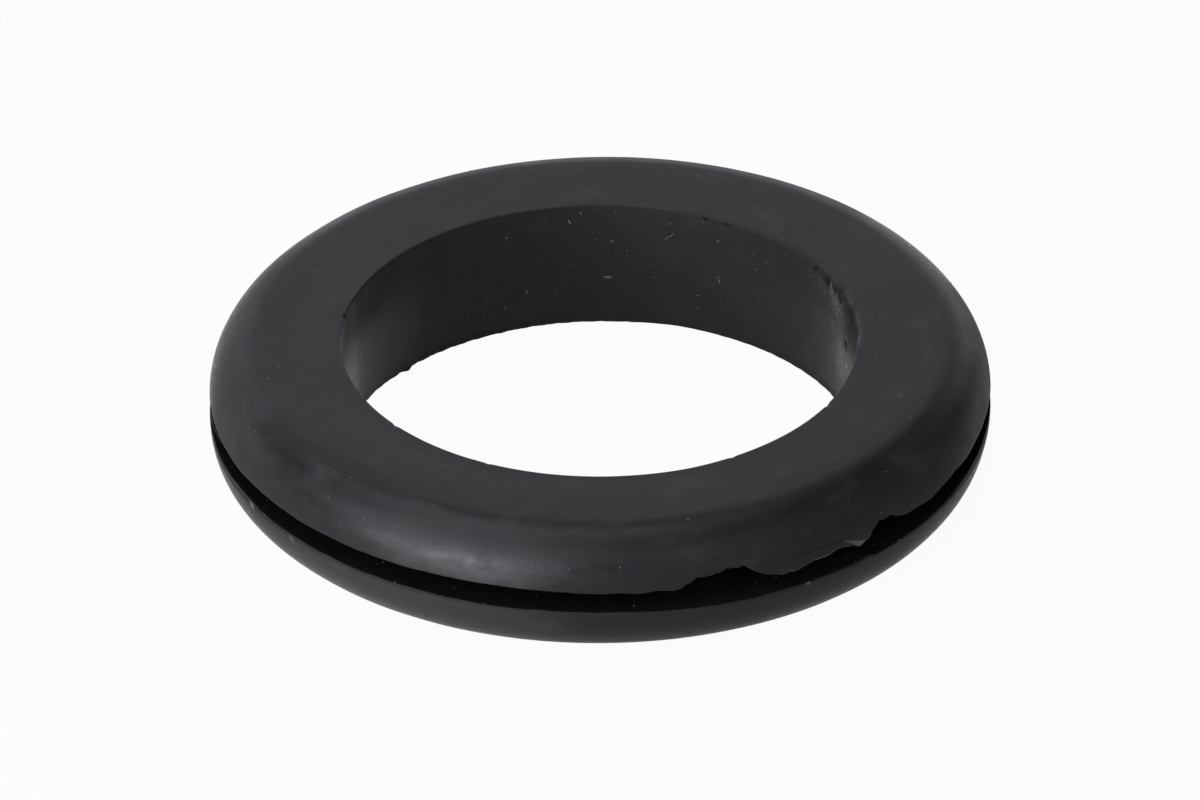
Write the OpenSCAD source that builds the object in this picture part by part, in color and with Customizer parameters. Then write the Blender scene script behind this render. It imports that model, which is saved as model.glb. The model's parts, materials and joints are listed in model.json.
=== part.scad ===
// Rubber grommet: one soft black moulding that lines a hole in a panel.
// It is a ring with a plain bore, and a square groove round its outside takes the panel's edge.
// The two flanges beside the groove are mirror images: each has a flat face round the bore,
// and a full, round shoulder that comes down square to the lip of the groove.
// The upper lip is torn in a few places.
// Millimetres.  The origin is the centre of the bottom face, and +Z runs up the bore.

/* [Ring] */
// Outside diameter over the two flanges
outer_d = 57.2; // [55:0.1:62]
// Diameter of the bore that the cables pass through
bore_d = 38.1; // [30:0.1:42]

/* [Panel groove] */
// Width of the groove, which is the thickness of the panel
groove_w = 1.6; // [0.8:0.1:3.2]
// Diameter of the groove's floor, which is the hole in the panel
groove_d = 47.6; // [44:0.1:52]

/* [Flanges] */
// Thickness of one flange, from the groove to its flat face
flange_t = 4.2; // [3.2:0.1:4.5]
// Radius of the shoulder next to the lip, larger than the flange is thick
shoulder_r = 4.6; // [4.3:0.1:6]
// Radius that blends the shoulder into the flat face
blend_r = 2.9; // [1:0.1:4]

/* [Tears in the upper lip] */
// Angle of the front tear round the ring, from +X
front_tear_angle = -72; // [-180:0.5:180]
// Length of the front tear along the lip
front_tear_l = 7.2; // [2:0.1:10]
// Height that the front tear reaches above the lip
front_tear_h = 1.1; // [0.3:0.1:2]
// Angle of the side tear round the ring, from +X
side_tear_angle = -42.5; // [-180:0.5:180]
// Length of the side tear along the lip
side_tear_l = 4.8; // [2:0.1:10]
// Height that the side tear reaches above the lip
side_tear_h = 0.9; // [0.3:0.1:2]
// Depth of both tears, inwards from the outside diameter
tear_depth = 0.9; // [0.3:0.1:2]

/* [Hidden] */

outer_r = outer_d / 2;
bore_r = bore_d / 2;
groove_r = groove_d / 2;
height = 2 * flange_t + groove_w;
lower_lip_z = flange_t;
upper_lip_z = flange_t + groove_w;

// Centre of the shoulder's arc, which meets the outside diameter square to the lip
shoulder_x = outer_r - shoulder_r;
// Centre of the blend's arc, which touches the flat face above and the shoulder's arc beside it
blend_z = flange_t - blend_r;
blend_x = shoulder_x + sqrt(pow(shoulder_r - blend_r, 2) - pow(blend_z, 2));
// Angle at which one arc runs into the other
join_angle = atan2(blend_z, blend_x - shoulder_x);

// How far a cut runs past the surface that it opens
over = 1;

// Slice of a disc between two angles less than 180 degrees apart
module slice(r, from, to) {
    far = 2 * r;
    middle = (from + to) / 2;
    intersection() {
        circle(r, $fn = 96);
        polygon([
            [0, 0],
            far * [cos(from), sin(from)],
            far * [cos(middle), sin(middle)],
            far * [cos(to), sin(to)]
        ]);
    }
}

// Half section of one flange: its lip lies on the x axis and its flat face is at the top
module flange_section() {
    translate([bore_r, 0])
        square([blend_x - bore_r, flange_t]);
    translate([blend_x, blend_z])
        slice(blend_r, join_angle, 90);
    translate([shoulder_x, 0])
        slice(shoulder_r, 0, join_angle);
}

// Half section of the whole ring
module ring_section() {
    translate([bore_r, 0])
        square([groove_r - bore_r, height]);
    translate([0, upper_lip_z])
        flange_section();
    translate([0, lower_lip_z])
        mirror([0, 1])
            flange_section();
}

// Piece torn out of the upper lip: a low arch, standing on the lip, cut in from the outside
module tear(angle, length, rise) {
    arch_r = (pow(length / 2, 2) + pow(rise, 2)) / (2 * rise);
    rotate([0, 0, angle])
        translate([outer_r - tear_depth, 0, upper_lip_z])
            intersection() {
                translate([0, 0, rise - arch_r])
                    rotate([0, 90, 0])
                        cylinder(r = arch_r, h = tear_depth + over, $fn = 96);
                translate([0, -length, 0])
                    cube([tear_depth + over, 2 * length, rise + over]);
            }
}

module grommet() {
    color([0.13, 0.13, 0.14])
        difference() {
            rotate_extrude($fn = 180)
                ring_section();
            tear(front_tear_angle, front_tear_l, front_tear_h);
            tear(side_tear_angle, side_tear_l, side_tear_h);
        }
}

grommet();
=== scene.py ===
# %% [markdown]
# A rubber grommet is one soft moulding that lines a hole in a panel, so that a cable can pass without
# chafing. It is a ring with a bore, two rounded flanges and a square groove for the panel's edge.
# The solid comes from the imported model, and this script gives it the surface that a real one has:
# a torn lip, trimmed edges, dust, and black rubber that has gone a little grey.

# %% Load the solid
import json
import math

import bpy
import numpy as np
from mathutils import Euler, Matrix, Vector
from mathutils.bvhtree import BVHTree


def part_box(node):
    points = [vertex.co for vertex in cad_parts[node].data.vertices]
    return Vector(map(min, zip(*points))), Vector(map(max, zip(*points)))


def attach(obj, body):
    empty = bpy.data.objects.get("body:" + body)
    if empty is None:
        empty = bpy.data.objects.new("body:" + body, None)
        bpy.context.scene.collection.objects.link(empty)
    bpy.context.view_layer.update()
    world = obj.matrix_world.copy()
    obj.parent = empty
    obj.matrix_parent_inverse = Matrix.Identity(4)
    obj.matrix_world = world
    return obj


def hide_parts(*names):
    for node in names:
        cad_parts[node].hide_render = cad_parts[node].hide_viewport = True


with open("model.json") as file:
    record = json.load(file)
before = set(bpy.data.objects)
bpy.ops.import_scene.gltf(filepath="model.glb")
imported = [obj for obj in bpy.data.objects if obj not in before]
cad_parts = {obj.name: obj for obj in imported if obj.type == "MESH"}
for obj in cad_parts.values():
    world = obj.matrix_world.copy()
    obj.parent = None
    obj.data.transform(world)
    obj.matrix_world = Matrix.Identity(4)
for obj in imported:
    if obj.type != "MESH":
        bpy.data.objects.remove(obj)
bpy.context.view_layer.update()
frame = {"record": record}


# %% [markdown]
# Every size comes from the solid or from its record, so the surface can't drift away from the part.
# Only the two arcs of the shoulder are written again, because the record has no place for them.

# %% Sizes, in metres
MM = 0.001
mounts = {mount["name"]: mount for mount in frame["record"]["mounts"]}
box_low, box_high = [Vector(corner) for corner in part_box("grommet")]

outer_r = (box_high.x - box_low.x) / 2
height = box_high.z - box_low.z
bore_r = mounts["bore"]["dims"]["r_mm"] * MM
groove_r = mounts["panel_groove"]["dims"]["r_mm"] * MM
groove_w = mounts["panel_groove"]["dims"]["length_mm"] * MM
flange_t = (height - groove_w) / 2
lower_lip_z = flange_t
upper_lip_z = flange_t + groove_w
shoulder_r = 4.6 * MM
blend_r = 2.9 * MM
shoulder_x = outer_r - shoulder_r
blend_z = flange_t - blend_r
blend_x = shoulder_x + math.sqrt((shoulder_r - blend_r) ** 2 - blend_z**2)
join_angle = math.atan2(blend_z, blend_x - shoulder_x)
centre = Vector((0, 0, height / 2))
print(f"outside {2 * outer_r / MM:.1f} mm, bore {2 * bore_r / MM:.1f} mm, flange {flange_t / MM:.2f} mm")

# %% [markdown]
# The camera is a long lens far away, so the near and far sides of the ring are almost the same size.
# It looks down at the ring from a little over thirty degrees and leans by less than half a degree.

# %% Camera
PICTURE_W = 1200
CAMERA_ELEVATION = math.radians(31.5)
CAMERA_ROLL = math.radians(-0.40)
CAMERA_DISTANCE = 60 * outer_r
PIXELS_PER_METRE = 390.4 / outer_r
RING_AT = (600.2, 397.3)
FRAME_AT = (600, 400)
SENSOR_W = 36.0
CLIP_NEAR = 0.1
CLIP_FAR = 20

toward_camera = Vector((0, -math.cos(CAMERA_ELEVATION), math.sin(CAMERA_ELEVATION)))
camera_turn = Euler((math.pi / 2 - CAMERA_ELEVATION, 0, 0)).to_quaternion()
camera_turn = camera_turn @ Euler((0, 0, CAMERA_ROLL)).to_quaternion()
offset = Vector((FRAME_AT[0] - RING_AT[0], RING_AT[1] - FRAME_AT[1], 0)) / PIXELS_PER_METRE
camera_data = bpy.data.cameras.new("camera")
camera_data.sensor_width = SENSOR_W
camera_data.lens = SENSOR_W * PIXELS_PER_METRE * CAMERA_DISTANCE / PICTURE_W
camera_data.clip_start = CLIP_NEAR
camera_data.clip_end = CLIP_FAR
camera = bpy.data.objects.new("camera", camera_data)
camera.rotation_mode = "QUATERNION"
camera.rotation_quaternion = camera_turn
camera.location = centre + toward_camera * CAMERA_DISTANCE + camera_turn @ offset
bpy.context.scene.collection.objects.link(camera)
bpy.context.scene.camera = camera
print(f"lens {camera_data.lens:.0f} mm")

# %% [markdown]
# Nodes are easier to read as arithmetic. This class wraps one output of a node, so that `1 - mask` or
# `noise * 0.5` adds the Math node that it needs. It serves geometry trees and materials alike.

# %% Nodes written as arithmetic
class Wire:
    """One output socket of a node tree, with Python's arithmetic."""

    def __init__(self, tree, socket=None):
        self.tree = tree
        self.socket = socket

    def add(self, kind, settings=None, output=0, **inputs):
        """Adds a node: its settings first, then a value or link for each socket.
        Size_X names the socket called Size X, and in_0 names the first socket."""
        node = self.tree.nodes.new(kind)
        for name, value in (settings or {}).items():
            setattr(node, name, value)
        for name, value in inputs.items():
            key = int(name[3:]) if name.startswith("in_") else name.replace("_", " ")
            if isinstance(value, Wire):
                self.tree.links.new(value.socket, node.inputs[key])
            else:
                node.inputs[key].default_value = value
        return Wire(self.tree, node.outputs[output])

    def other(self, output):
        """Another output of the same node."""
        return Wire(self.tree, self.socket.node.outputs[output])

    def math(self, operation, *values):
        inputs = {f"in_{place}": value for place, value in enumerate(values)}
        return self.add("ShaderNodeMath", {"operation": operation}, **inputs)

    def apply(self, operation, *values):
        """A Math node whose first value is this output."""
        return self.math(operation, self, *values)

    def __add__(self, value):
        return self.math("ADD", self, value)

    def __radd__(self, value):
        return self.math("ADD", value, self)

    def __sub__(self, value):
        return self.math("SUBTRACT", self, value)

    def __rsub__(self, value):
        return self.math("SUBTRACT", value, self)

    def __mul__(self, value):
        return self.math("MULTIPLY", self, value)

    def __rmul__(self, value):
        return self.math("MULTIPLY", value, self)

    def __truediv__(self, value):
        return self.math("DIVIDE", self, value)

    def step(self, start, end, low=0.0, high=1.0):
        """Rises smoothly from low to high while this output goes from start to end."""
        ends = {"From_Min": start, "From_Max": end, "To_Min": low, "To_Max": high}
        return self.add("ShaderNodeMapRange", {"interpolation_type": "SMOOTHSTEP"}, Value=self, **ends)


# %% [markdown]
# The moulding has one section all the way round, so the section is drawn once, as points in a plane
# with the bore's axis on the left. Arcs make the shoulders and the small round on every edge.
# Each half of the section has its own number of rows: the upper lip is torn and needs the finest ones.

# %% Section of the ring
RIM_ROUND = 0.10 * MM
LIP_ROUND = 0.06 * MM
FLOOR_ROUND = 0.25 * MM
FINE_DEG = 18
STRETCHES = ("wall", "rim", "face", "blend", "shoulder", "edge", "lip", "side", "corner")
UPPER_ROWS = dict(zip(STRETCHES, (18, 4, 10, 6, 12, 16, 5, 9, 3)))
LOWER_ROWS = dict(zip(STRETCHES, (10, 4, 7, 5, 9, 5, 4, 6, 3)))
WALL_CROWD = 0.62
FACE_CROWD = 1.9
SIDE_CROWD = 1.5


def line(start, end, count, crowd=1.0):
    """Points from start towards end, without the end. They crowd towards the start for a crowd above 1,
    and towards the end for one below it."""
    start, end = np.array(start), np.array(end)
    share = (np.arange(count) / count) ** crowd
    return [tuple(start + (end - start) * part) for part in share]


def arc(middle, radius, first, last, count):
    """Points on an arc between two angles in degrees, without its end."""
    angles = np.radians(first + (last - first) * np.arange(count) / count)
    return [(middle[0] + radius * math.cos(a), middle[1] + radius * math.sin(a)) for a in angles]


def half_section(rows):
    """Half of the section, from the middle of the bore's wall over a flange to the middle of the groove.
    Heights are measured from the middle. Each point comes with the name of its stretch."""
    top = height / 2
    lip = groove_w / 2
    turn_deg = math.degrees(join_angle)
    edge_deg = math.degrees(math.asin(LIP_ROUND / shoulder_r))
    stretches = {
        "wall": line((bore_r, 0), (bore_r, top - RIM_ROUND), rows["wall"], WALL_CROWD),
        "rim": arc((bore_r + RIM_ROUND, top - RIM_ROUND), RIM_ROUND, 180, 90, rows["rim"]),
        "face": line((bore_r + RIM_ROUND, top), (blend_x, top), rows["face"], FACE_CROWD),
        "blend": arc((blend_x, lip + blend_z), blend_r, 90, turn_deg, rows["blend"]),
        "shoulder": arc((shoulder_x, lip), shoulder_r, turn_deg, FINE_DEG, rows["shoulder"]),
        "edge": arc((shoulder_x, lip), shoulder_r, FINE_DEG, edge_deg, rows["edge"]),
        "lip": arc((outer_r - LIP_ROUND, lip + LIP_ROUND), LIP_ROUND, 0, -90, rows["lip"]),
        "side": line((outer_r - LIP_ROUND, lip), (groove_r + FLOOR_ROUND, lip), rows["side"], SIDE_CROWD),
        "corner": arc((groove_r + FLOOR_ROUND, lip - FLOOR_ROUND), FLOOR_ROUND, 90, 180, rows["corner"]),
    }
    end = [(groove_r, 0, "corner")]
    return [(x, z, name) for name, points in stretches.items() for x, z in points] + end


upper_half = [(x, height / 2 + z, "upper " + name) for x, z, name in half_section(UPPER_ROWS)]
lower_half = [(x, height / 2 - z, "lower " + name) for x, z, name in half_section(LOWER_ROWS)]
section = upper_half + lower_half[-2:0:-1]
print(len(section), "rows in the section")

# %% [markdown]
# Geometry Nodes sweep the section round the bore. A flat grid has one row of points for each point of
# the section and one column for each angle. Each grid point looks up its own row in the section and is
# carried round by its column's angle. The columns crowd together where the lip is torn. At the end a
# slow noise lifts the skin by a few hundredths of a millimetre, as soft rubber is never quite true.

# %% Tree that sweeps a section round the bore
COLUMNS = 720
CROWDED_ANGLE = math.radians(-60)
CROWDING = 0.35
MERGE_DISTANCE = 1e-7
WAVE_SCALE = 160.0
WAVE_HEIGHT = 0.05 * MM


def add_input(tree, name, kind, value=None):
    """A named input of a geometry tree."""
    socket = tree.interface.new_socket(name, in_out="INPUT", socket_type=kind)
    if value is not None:
        socket.default_value = value
    return socket.identifier


def sweep_tree():
    tree = bpy.data.node_groups.new("sweep a section round the bore", "GeometryNodeTree")
    keys = {
        "Section": add_input(tree, "Section", "NodeSocketObject"),
        "Rows": add_input(tree, "Rows", "NodeSocketInt", 8),
        "Columns": add_input(tree, "Columns", "NodeSocketInt", COLUMNS),
        "Crowding": add_input(tree, "Crowding", "NodeSocketFloat", CROWDING),
        "Crowded Angle": add_input(tree, "Crowded Angle", "NodeSocketFloat", CROWDED_ANGLE),
        "Wave Scale": add_input(tree, "Wave Scale", "NodeSocketFloat", WAVE_SCALE),
        "Wave Height": add_input(tree, "Wave Height", "NodeSocketFloat", WAVE_HEIGHT),
        "Material": add_input(tree, "Material", "NodeSocketMaterial"),
    }
    tree.interface.new_socket("Geometry", in_out="OUTPUT", socket_type="NodeSocketGeometry")
    entry = tree.nodes.new("NodeGroupInput")
    given = {name: Wire(tree, entry.outputs[name]) for name in keys}
    make = Wire(tree).add

    counts = {"Vertices_X": given["Columns"] + 1, "Vertices_Y": given["Rows"]}
    grid = make("GeometryNodeMeshGrid", Size_X=1.0, Size_Y=1.0, **counts)
    grid = make("GeometryNodeFlipFaces", Mesh=grid)
    index = make("GeometryNodeInputIndex")
    row = index.apply("FLOORED_MODULO", given["Rows"])
    column = (index / given["Rows"]).apply("FLOOR")

    drawing = make("GeometryNodeObjectInfo", Object=given["Section"], output="Geometry")
    position = make("GeometryNodeInputPosition")
    vector = {"data_type": "FLOAT_VECTOR"}
    point = make("GeometryNodeSampleIndex", vector, Geometry=drawing, Value=position, Index=row)
    radius = make("ShaderNodeSeparateXYZ", Vector=point)
    level = radius.other("Z")

    even = column * (2 * math.pi) / given["Columns"]
    angle = even - given["Crowding"] * (even - given["Crowded Angle"]).apply("SINE")
    round_x = radius * angle.apply("COSINE")
    round_y = radius * angle.apply("SINE")
    place = make("ShaderNodeCombineXYZ", X=round_x, Y=round_y, Z=level)
    ring = make("GeometryNodeSetPosition", Geometry=grid, Position=place)
    stored = {"data_type": "FLOAT", "domain": "POINT"}
    own_row = row.apply("FLOORED_MODULO", given["Rows"] - 1)
    ring = make("GeometryNodeStoreNamedAttribute", stored, Geometry=ring, Name="row", Value=own_row)
    ring = make("GeometryNodeMergeByDistance", Geometry=ring, Distance=MERGE_DISTANCE)
    normal = make("GeometryNodeInputNormal")
    noise = make("ShaderNodeTexNoise", Scale=given["Wave Scale"], Detail=2.0)
    lift = (noise - 0.5) * given["Wave Height"]
    wave = make("ShaderNodeVectorMath", {"operation": "SCALE"}, Vector=normal, Scale=lift)
    ring = make("GeometryNodeSetPosition", Geometry=ring, Offset=wave)
    ring = make("GeometryNodeSetShadeSmooth", Geometry=ring)
    ring = make("GeometryNodeRealizeInstances", Geometry=ring)
    ring = make("GeometryNodeSetMaterial", Geometry=ring, Material=given["Material"])
    leave = tree.nodes.new("NodeGroupOutput")
    tree.links.new(ring.socket, leave.inputs["Geometry"])
    return tree, keys


def run_tree(name, tree, keys, values):
    """Runs a geometry tree on an empty mesh and keeps the result as a plain mesh object."""
    carrier = bpy.data.objects.new(name, bpy.data.meshes.new(name))
    bpy.context.scene.collection.objects.link(carrier)
    modifier = carrier.modifiers.new("tree", "NODES")
    modifier.node_group = tree
    for key, value in values.items():
        modifier[keys[key]] = value
    graph = bpy.context.evaluated_depsgraph_get()
    mesh = bpy.data.meshes.new_from_object(carrier.evaluated_get(graph))
    mesh.materials.clear()
    mesh.materials.append(values["Material"])
    mesh.polygons.foreach_set("material_index", np.zeros(len(mesh.polygons), np.int32))
    carrier.modifiers.remove(modifier)
    old = carrier.data
    carrier.data = mesh
    bpy.data.meshes.remove(old)
    mesh.name = name
    return carrier


# %% Sweep the section
rubber = bpy.data.materials.new("black_rubber")


def drawn(points):
    """The section's points, closed, as a mesh object that a tree can look up."""
    mesh = bpy.data.meshes.new("section")
    closed = points + points[:1]
    mesh.from_pydata([(x, 0, z) for x, z, _ in closed], [], [])
    return bpy.data.objects.new("section", mesh)


section_drawing = drawn(section)
sweep, sweep_keys = sweep_tree()
sweep_values = {"Section": section_drawing, "Rows": len(section) + 1, "Material": rubber}
ring = run_tree("grommet_surface", sweep, sweep_keys, sweep_values)
print(len(ring.data.vertices), "points,", 2 * len(ring.data.polygons), "triangles")

# %% [markdown]
# A bought grommet is not the clean ring that a drawing shows. The mould leaves flash, and this one had
# two bites torn out of its upper lip. Wear like this is easiest as plain arithmetic on the points, with
# each point known by its angle, its radius, its height and the stretch of the section that it lies on.

# %% Points of the ring
STRETCH_NAMES = np.array([name for _, _, name in section])
RIPPLE_WAVES = (1, 1.7, 2.6, 4.1)
RIPPLE_TOP = 1.8


def read_points(mesh):
    flat = np.empty(3 * len(mesh.vertices))
    mesh.vertices.foreach_get("co", flat)
    return flat.reshape(-1, 3)


def read_rows(mesh):
    rows = np.empty(len(mesh.vertices))
    mesh.attributes["row"].data.foreach_get("value", rows)
    return np.rint(rows).astype(int)


points = read_points(ring.data)
stretch = STRETCH_NAMES[read_rows(ring.data)]
angle = np.degrees(np.arctan2(points[:, 1], points[:, 0]))
radius = np.hypot(points[:, 0], points[:, 1])
level = points[:, 2].copy()


def on(*names):
    """Which points lie on these stretches of the section."""
    return np.isin(stretch, names)


def around(places, angles):
    """A size in metres at each angle, from a short list of (degrees, millimetres) round the ring."""
    degrees, sizes = np.transpose(places)
    return np.interp(angles, degrees, sizes, period=360) * MM


def smooth(share):
    """A soft step from 0 to 1."""
    share = np.clip(share, 0, 1)
    return share * share * (3 - 2 * share)


def ripple(angles, count, seed):
    """A ragged line round the ring, about -1 to 1: sine waves that grow weaker as they grow finer."""
    random = np.random.default_rng(seed)
    line_sum = np.zeros_like(angles)
    for harmonic in RIPPLE_WAVES:
        turns = round(count * harmonic)
        line_sum += np.sin(np.radians(angles) * turns + random.uniform(0, 2 * math.pi)) / harmonic
    return line_sum / RIPPLE_TOP


def round_the_axis(degrees, r, z):
    """A point from its angle, its distance from the axis and its height."""
    turn_to = math.radians(degrees)
    return Vector((r * math.cos(turn_to), r * math.sin(turn_to), z))


print(len(points), "points on", len(set(stretch)), "stretches")

# %% [markdown]
# The lips come first. A bite lifts the edge of the upper lip up the shoulder, and the points above it
# close up to make room. Under the edge the torn face goes inwards before it drops, so the bite is in
# deep shade. A burr does the opposite: it hangs below the lip and is only a few tenths thick.

# %% Torn and ragged lips
UPPER_LIP = [
    (-174, 0.20), (-165, 0.28), (-158, 0.16), (-148, 0.18), (-140, 0.12), (-135, 0.16), (-122, 0.13),
    (-112, 0.19), (-103, 0.17), (-95, 0.10), (-90, 0.0),
    (-87, 0.08), (-84.5, -0.07), (-82, 0.12), (-79.5, -0.06), (-78.5, 0.05), (-77.5, 0.40),
    (-76.5, 0.66), (-75.5, 0.82), (-73.5, 0.80), (-72, 1.06), (-70, 1.10), (-68.5, 1.0), (-67.5, 0.66),
    (-66.5, 0.30), (-65, 0.0), (-63, -0.28), (-60.5, -0.30), (-57.5, 0.05), (-55, 0.06), (-53, 0.28),
    (-51, 0.02), (-49.5, -0.22), (-47.3, -0.10), (-46.5, 0.44), (-45.5, 0.84), (-43, 0.84),
    (-41.5, 0.58), (-40, 0.22), (-38, 0.10), (-36, 0.04), (-33, -0.14), (-29, 0.08), (-25, 0.20),
    (-21, 0.08), (-16, 0.20), (-5, 0.10), (20, 0.0), (90, -0.05), (160, 0.0), (180, 0.10),
]
LOWER_LIP = [
    (-168, 0.20), (-165.5, 0.10), (-160, 0.24), (-156, 0.26), (-152.5, 0.26), (-150, 0.10), (-140, 0.12),
    (-128, 0.05), (-120, 0.09), (-101, 0.02), (-99, 0.12), (-97, 0.06), (-88, 0.04), (-78, -0.08),
    (-68, -0.12), (-63, -0.05), (-57, -0.02), (-49, 0.0), (-47.5, 0.12), (-46, -0.12), (-42, -0.11),
    (-36, -0.05), (-30, 0.05), (-25, 0.15), (-17, 0.28), (-8, 0.25), (30, 0.05), (110, 0.0), (170, 0.20),
]
LIP_FADE = 2.6 * MM
BITE_FROM = 0.3 * MM
BITE_DEPTH = 1.5 * MM
BURR_DEPTH = 0.4 * MM
RAGGED = 0.02 * MM
TORN_RAGGED = 0.09 * MM
TORN_FROM = 0.25 * MM


def shoulder_at(rise):
    """Radius of the shoulder at a height above the lip."""
    return shoulder_x + np.sqrt(shoulder_r**2 - np.maximum(rise, 0) ** 2)


def move_lip(part, lip_z, up, change):
    """One flange's new radius and level, with its lip moved by change: metres, positive into the shoulder.
    up is 1 for the upper flange and -1 for the lower one."""
    rise = (level - lip_z) * up
    skin = on(part + " blend", part + " shoulder", part + " edge")
    lip = on(part + " lip")
    side = on(part + " side")
    depth = BURR_DEPTH + (BITE_DEPTH - BURR_DEPTH) * np.clip(change / BITE_FROM, 0, 1)
    inset = np.clip((outer_r - LIP_ROUND - radius) / depth, 0, 1)
    faded = smooth(1 - (rise - LIP_ROUND) / LIP_FADE)
    share = np.select([skin, lip, side], [faded, 1, np.sqrt(1 - inset**2)], 0)
    step = change * share
    skin_shift = shoulder_at(rise + step) - shoulder_at(rise)
    lip_shift = (shoulder_at(LIP_ROUND + change) - shoulder_at(LIP_ROUND)) * share
    new_radius = radius + np.select([skin, lip | side], [skin_shift, lip_shift], 0)
    return new_radius, level + step * up


upper_change = around(UPPER_LIP, angle) + RAGGED * ripple(angle, count=40, seed=3)
torn = smooth((np.abs(upper_change) - TORN_FROM / 2) / TORN_FROM)
upper_change = upper_change + TORN_RAGGED * torn * ripple(angle, count=150, seed=31)
lower_change = -around(LOWER_LIP, angle) + RAGGED * ripple(angle, count=46, seed=5)
radius, level = move_lip("upper", upper_lip_z, 1, upper_change)
radius, level = move_lip("lower", lower_lip_z, -1, lower_change)
print(f"upper lip from {upper_change.min() / MM:.2f} to {upper_change.max() / MM:.2f} mm")

# %% [markdown]
# Between the two bites the lip is split: a fine crease runs above it, and the strip below the crease
# leans out a little. Both are pushes along the shoulder's own normal.

# %% Crease and loose strip
CREASE = [(-67, 1.06), (-62, 0.97), (-56, 0.88), (-52, 0.80)]
CREASE_ENDS = (-67.5, -50.5)
CREASE_FADES = (1.5, 1.0)
CREASE_DEPTH = 0.11 * MM
CREASE_HALF_WIDTH = 0.08 * MM
STRIP_LEAN = 0.07 * MM

rise = level - upper_lip_z
above = rise - around(CREASE, angle)
inside = smooth((angle - CREASE_ENDS[0]) / CREASE_FADES[0])
inside = inside * smooth((CREASE_ENDS[1] - angle) / CREASE_FADES[1])
split = -CREASE_DEPTH * np.exp(-((above / CREASE_HALF_WIDTH) ** 2))
lean = STRIP_LEAN * smooth(-above / MM) * (above < 0)
push = (split + lean) * inside * on("upper edge", "upper lip", "upper shoulder")
slope = np.arcsin(np.clip(rise / shoulder_r, 0, 1))
radius = radius + push * np.cos(slope)
level = level + push * np.sin(slope)
print(f"crease {-push.min() / MM:.2f} mm deep, strip {push.max() / MM:.2f} mm out")

# %% [markdown]
# The bore is a little tight, and on one side its worn upper rim bulges inwards. The trimmed flash leaves
# a ragged fin at its lower rim. The outside isn't quite round: soft rubber keeps its stored shape.

# %% Bore, flash and roundness
BORE_TIGHT = 0.04 * MM
RIM_BULGE = [
    (-160, 0.06), (-130, 0.05), (-110, 0.0), (-70, -0.10), (-55, 0.0), (-30, 0.05), (-8, 0.20),
    (14, 0.28), (30, 0.20), (50, 0.0), (90, 0.0), (180, 0.02),
]
BULGE_HEIGHT = 3.0 * MM
FLASH_HEIGHT = 0.25 * MM
BORE_FLASH = [
    (-170, 0.16), (-90, 0.08), (-20, 0.10), (10, 0.16), (30, 0.10), (60, 0.08), (72, 0.0), (85, 0.16),
    (105, 0.18), (112, 0.22), (124, 0.22), (137.5, 0.20), (139.4, 0.46), (141, 0.20), (150, 0.10),
    (158, 0.14),
]
ROUNDNESS = [
    (-135, 0.0), (-85, 0.0), (-60, 0.07), (-40, 0.02), (-10, -0.07), (0, 0.0), (35, 0.04), (60, 0.16),
    (80, 0.13), (100, 0.0), (120, -0.16), (140, -0.22), (150, -0.08), (180, 0.02), (-160, 0.08),
]
WORN_RIM = [(-8, 0.0), (0, 0.24), (10, 0.44), (22, 0.50), (32, 0.42), (42, 0.26), (50, 0.14), (60, 0.0)]
BROKEN_RIM = [(-4, 0.0), (2, 0.5), (28, 0.5), (36, 0.2), (50, 0.1), (58, 0.0)]
SHADE_DOWN = 3.2 * MM
WORN_BACK = 0.12
WORN_DOWN = 0.50
FLASH_RAGGED = 0.25
WORN_RAGGED = 0.14
NO_WEAR = 1e-6

wall = on("upper wall", "upper rim", "lower wall", "lower rim")
bulge = around(RIM_BULGE, angle) * smooth(1 - (height - level) / BULGE_HEIGHT)
flash = around(BORE_FLASH, angle) * (1 + FLASH_RAGGED * ripple(angle, count=70, seed=8))
fin = np.exp(-((level / FLASH_HEIGHT) ** 2))
near_bore = smooth((blend_x - radius) / (blend_x - bore_r))
radius = radius - (BORE_TIGHT + bulge) * near_bore - flash * fin * wall
worn_width = around(WORN_RIM, angle) * (1 + WORN_RAGGED * ripple(angle, count=34, seed=12)) + NO_WEAR
from_rim = np.maximum(radius - bore_r + BORE_TIGHT + bulge, 0) + height - level
worn = worn_width * smooth(1 - from_rim / worn_width)
radius, level = radius + WORN_BACK * worn, level - WORN_DOWN * worn
radius = radius + around(ROUNDNESS, angle) * smooth((radius - groove_r) / (outer_r - groove_r))


def write_points(mesh):
    """Puts the worn points back into the mesh. Nothing goes below the face that the ring stands on."""
    turn_xy = np.radians(angle)
    x, y = radius * np.cos(turn_xy), radius * np.sin(turn_xy)
    places = np.stack([x, y, np.maximum(level, box_low.z)], axis=1)
    mesh.vertices.foreach_set("co", places.ravel())
    mesh.update()


write_points(ring.data)
print(f"fin up to {flash.max() / MM:.2f} mm, rim worn down by up to {WORN_DOWN * worn.max() / MM:.2f} mm")

# %% [markdown]
# Where the worn rim bulges it is also pitted, and a few shallow dents lie lower on the wall. Each pit
# pushes the points near it straight in, against their normals, and most of all in its middle.

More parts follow.
